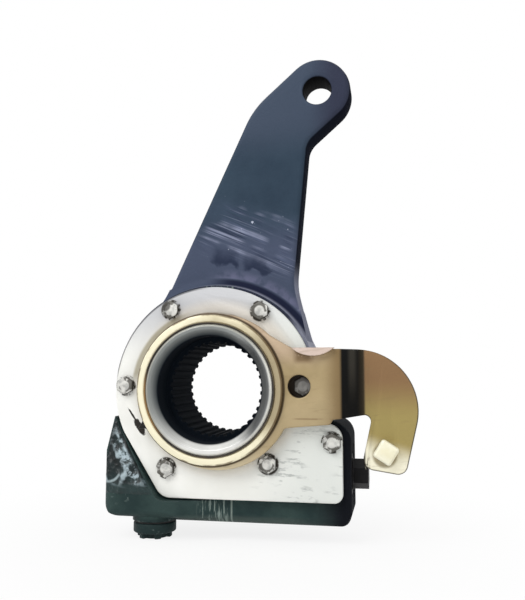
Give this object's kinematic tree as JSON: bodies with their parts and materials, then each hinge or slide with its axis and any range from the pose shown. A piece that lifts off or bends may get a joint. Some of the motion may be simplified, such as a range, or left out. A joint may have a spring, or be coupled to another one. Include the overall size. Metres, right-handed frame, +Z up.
{
  "type": "automatic brake slack adjuster",
  "caption": "Automatic brake slack adjuster: lever with clevis eye, splined worm wheel hub, plated cover, hooked control arm and adjusting hex.",
  "frame": {"origin": "on the camshaft axis, in the joint plane between the housing and the front cover", "axes": "+X to the right of the front view, +Y from the front cover to the rear, +Z up to the lever eye"},
  "size_m": [0.145, 0.0505, 0.2297],
  "materials": {
    "housing_paint": "dark slate paint, scuffed at the edges",
    "bush_steel": "dark hardened steel",
    "cover_zinc": "bright zinc plate",
    "gasket": "matte fibre",
    "screw_zinc": "bright zinc plate",
    "seal_rubber": "matte black rubber",
    "hub_steel": "machined and polished steel",
    "worm_steel": "blackened steel",
    "inner_steel": "machined steel, oiled",
    "spring_steel": "drawn spring wire",
    "bearing_steel": "ground and polished",
    "bronze": "machined bronze",
    "cap_paint": "dark green black paint",
    "arm_zinc": "yellow zinc plate",
    "collar_zinc": "pale yellow zinc plate",
    "anchor_zinc": "pale yellow zinc plate"
  },
  "bodies": {
    "housing": {"housing": "housing_paint", "lever": "housing_paint", "lever_bush": "bush_steel", "front_cover": "cover_zinc", "cover_gasket": "gasket", "cover_screws": "screw_zinc", "cover_seal": "seal_rubber", "rear_seal": "seal_rubber", "outer_race": "bearing_steel", "thrust_balls": "bearing_steel", "ball_cage": "bronze", "worm_end_cap": "cap_paint", "worm_shaft_seal": "seal_rubber", "worm_bush": "bronze", "clutch_end_cap": "cap_paint", "pinion_washer": "inner_steel", "rack_plug": "cap_paint", "plug_seal": "seal_rubber"},
    "worm_wheel": {"worm_wheel": "hub_steel"},
    "worm": {"worm_shaft": "worm_steel", "spring_seat": "inner_steel", "thrust_spring": "spring_steel", "inner_race": "bearing_steel", "clutch_ring": "inner_steel"},
    "pinion": {"clutch_pinion": "inner_steel", "wrap_spring": "spring_steel"},
    "rack": {"rack": "inner_steel", "rack_spring": "spring_steel"},
    "control_arm": {"control_arm": "arm_zinc", "control_sleeve": "collar_zinc", "control_disc": "inner_steel", "hub_seal": "seal_rubber", "anchor_bolt": "anchor_zinc", "anchor_nut": "anchor_zinc"}
  },
  "joints": [
    {"name": "wheel_turn", "type": "hinge", "parent": "housing", "child": "worm_wheel", "pos_m": [0, 0, 0], "axis": [0, 1, 0], "continuous": true},
    {"name": "worm_turn", "type": "hinge", "parent": "housing", "child": "worm", "pos_m": [0, 0.0175, -0.0395], "axis": [1, 0, 0], "continuous": true},
    {"name": "arm_swing", "type": "hinge", "parent": "housing", "child": "control_arm", "pos_m": [0, 0, 0], "axis": [0, 1, 0], "range_deg": [-15, 0]},
    {"name": "rack_slide", "type": "slide", "parent": "housing", "child": "rack", "axis": [0, 0, 1], "range_m": [-0.0084, 0], "deforming": ["rack_spring"]},
    {"name": "pinion_turn", "type": "hinge", "parent": "housing", "child": "pinion", "pos_m": [-0.03, 0.0175, -0.0395], "axis": [1, 0, 0], "range_deg": [0, 53.4]}
  ],
  "couplings": [
    {"joint": "worm_turn", "follows": "wheel_turn", "ratio": 28},
    {"joint": "rack_slide", "follows": "arm_swing", "m_per_rad": 0.032},
    {"joint": "pinion_turn", "follows": "arm_swing", "ratio": -3.5556}
  ]
}
